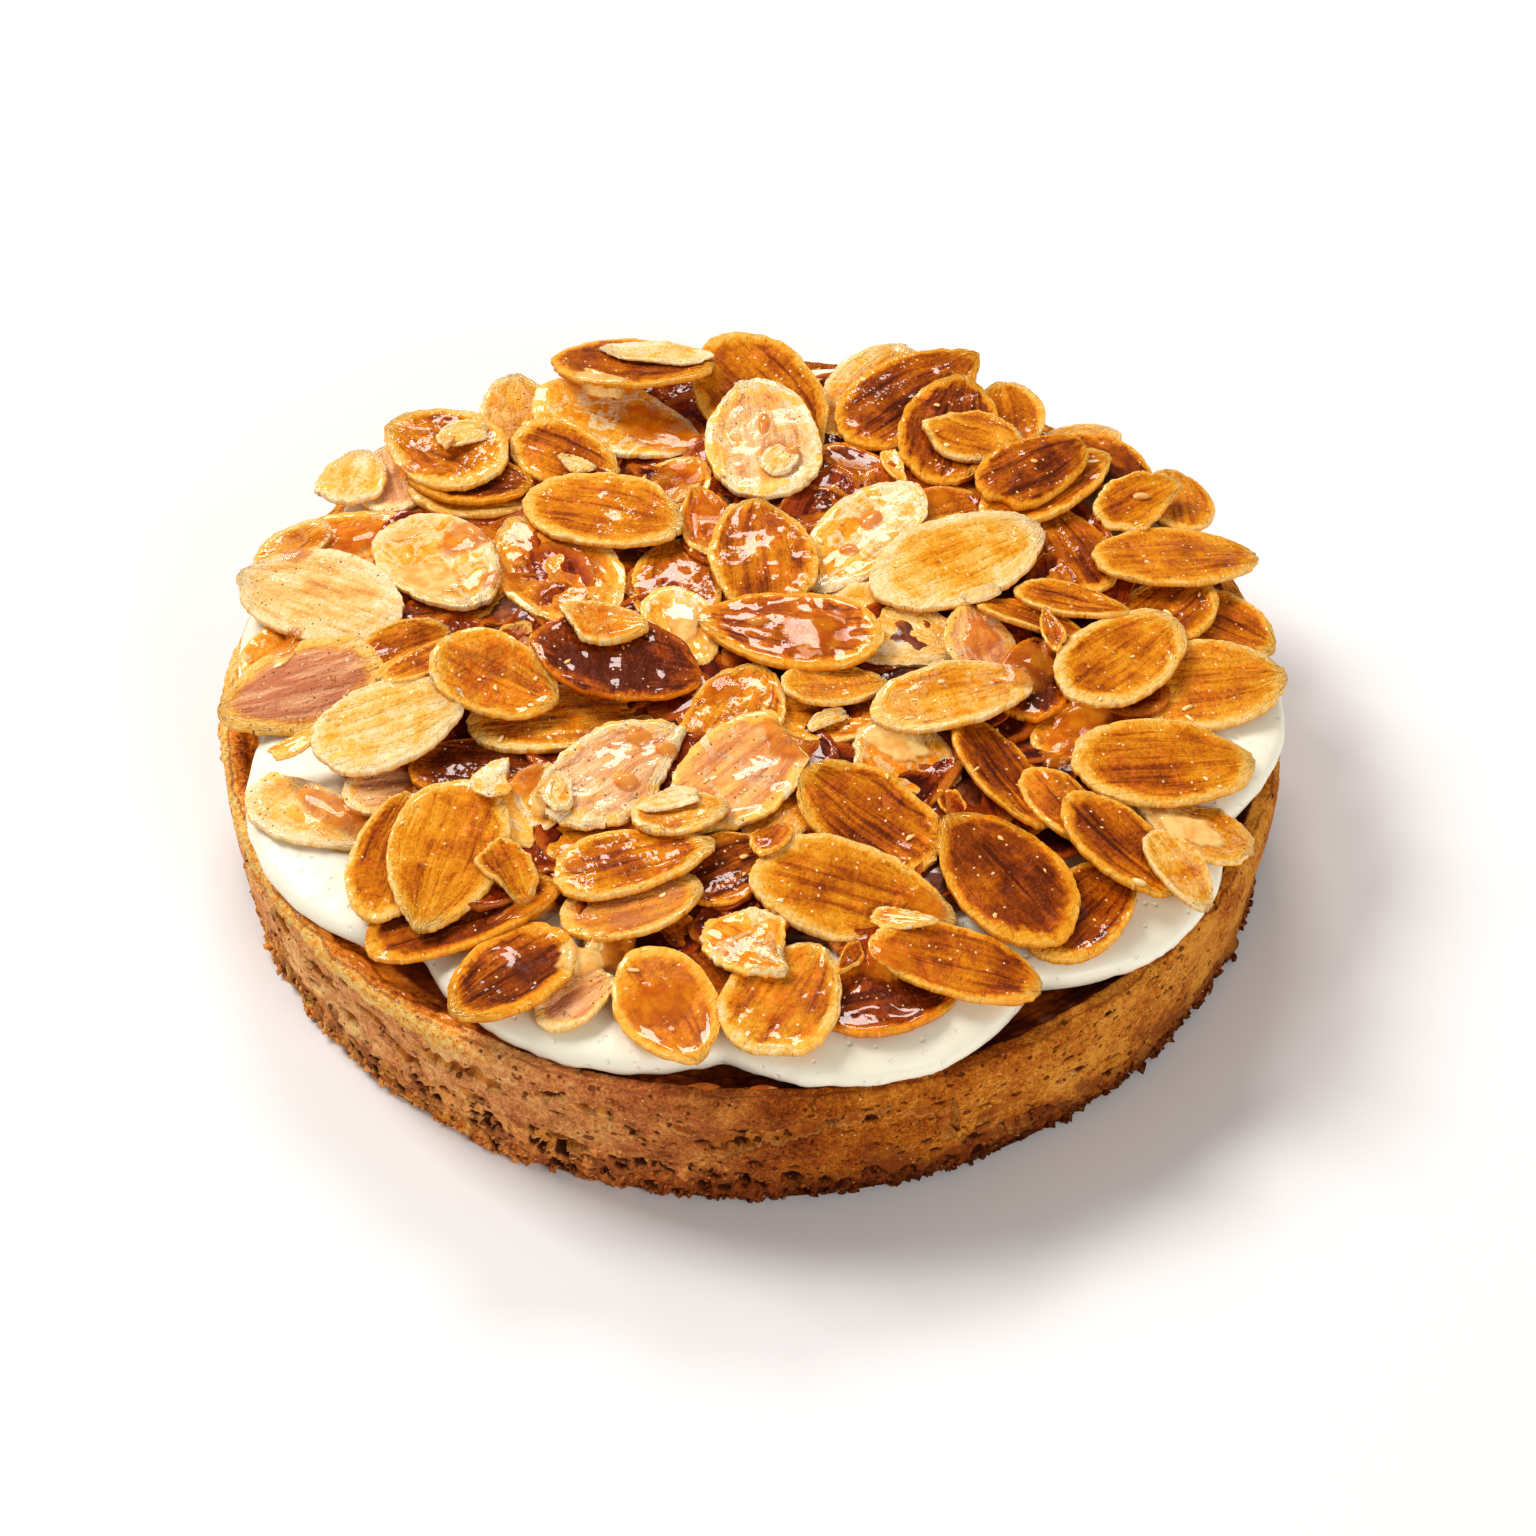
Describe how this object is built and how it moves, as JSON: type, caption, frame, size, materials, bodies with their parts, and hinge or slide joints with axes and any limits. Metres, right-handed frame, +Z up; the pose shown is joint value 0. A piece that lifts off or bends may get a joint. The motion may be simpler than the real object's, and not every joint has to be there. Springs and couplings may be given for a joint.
{
  "type": "almond tart",
  "caption": "Round baked tart: a browned pastry case with its filling, a ring of piped whipped cream and a heap of caramelised sliced almonds.",
  "frame": {"origin": "middle of the round underside, on the surface that the tart stands on", "axes": "+Z up, -Y towards the side the picture was taken from"},
  "size_m": [0.1198, 0.12, 0.0311],
  "materials": {
    "browned_pastry": "baked crumbly shortcrust, golden brown, darker and porous at the foot",
    "baked_filling": "browned and glossy with syrup",
    "whipped_cream": "smooth, soft satin",
    "toasted_almond": "toasted sliced almonds under a clear caramel glaze"
  },
  "bodies": {
    "root": {"pastry_case": "browned_pastry", "baked_filling": "baked_filling", "whipped_cream": "whipped_cream", "almond_flakes": "toasted_almond"}
  },
  "joints": []
}
